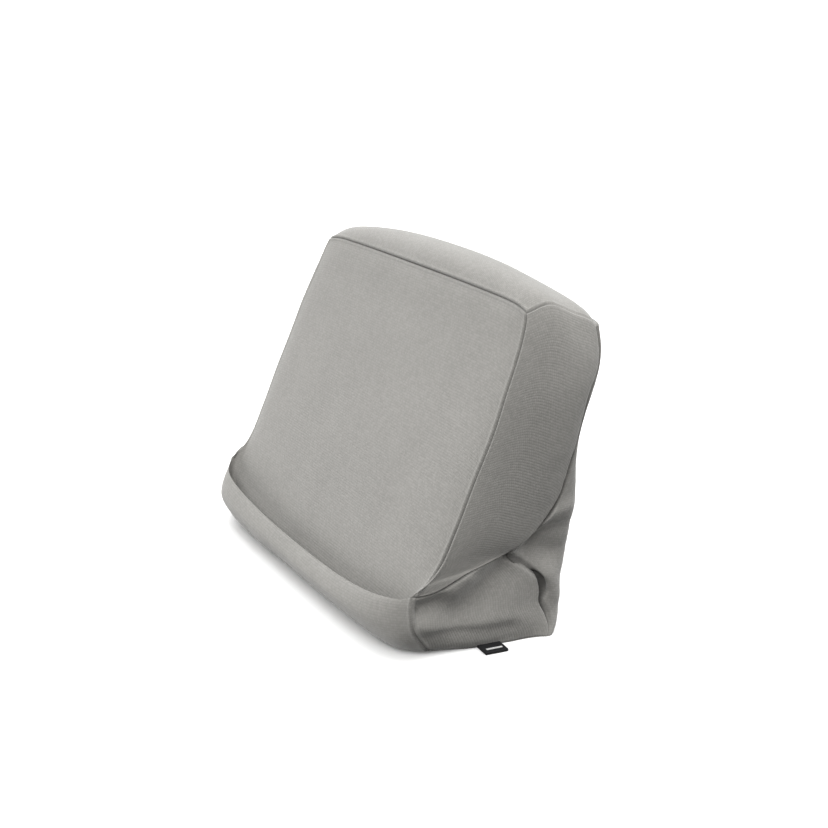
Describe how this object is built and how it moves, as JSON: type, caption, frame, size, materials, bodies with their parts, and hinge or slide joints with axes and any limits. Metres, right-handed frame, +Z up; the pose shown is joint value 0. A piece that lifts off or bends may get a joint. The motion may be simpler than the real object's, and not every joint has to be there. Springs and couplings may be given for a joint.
{
  "type": "tablet pillow",
  "caption": "Filled cloth pillow with a leaning flat front, a low lip along its foot, a crowned boxing and a flat base, to prop up a tablet.",
  "frame": {"origin": "middle of the flat base, on the surface the pillow rests on", "axes": "+X to the right seen from the front, +Y to the back, +Z up"},
  "size_m": [0.2793, 0.1353, 0.1956],
  "materials": {
    "cloth": "plain warm grey twill, matt",
    "tape": "black woven tape, matt"
  },
  "bodies": {
    "root": {"pillow": "cloth", "tag": "tape"}
  },
  "joints": []
}
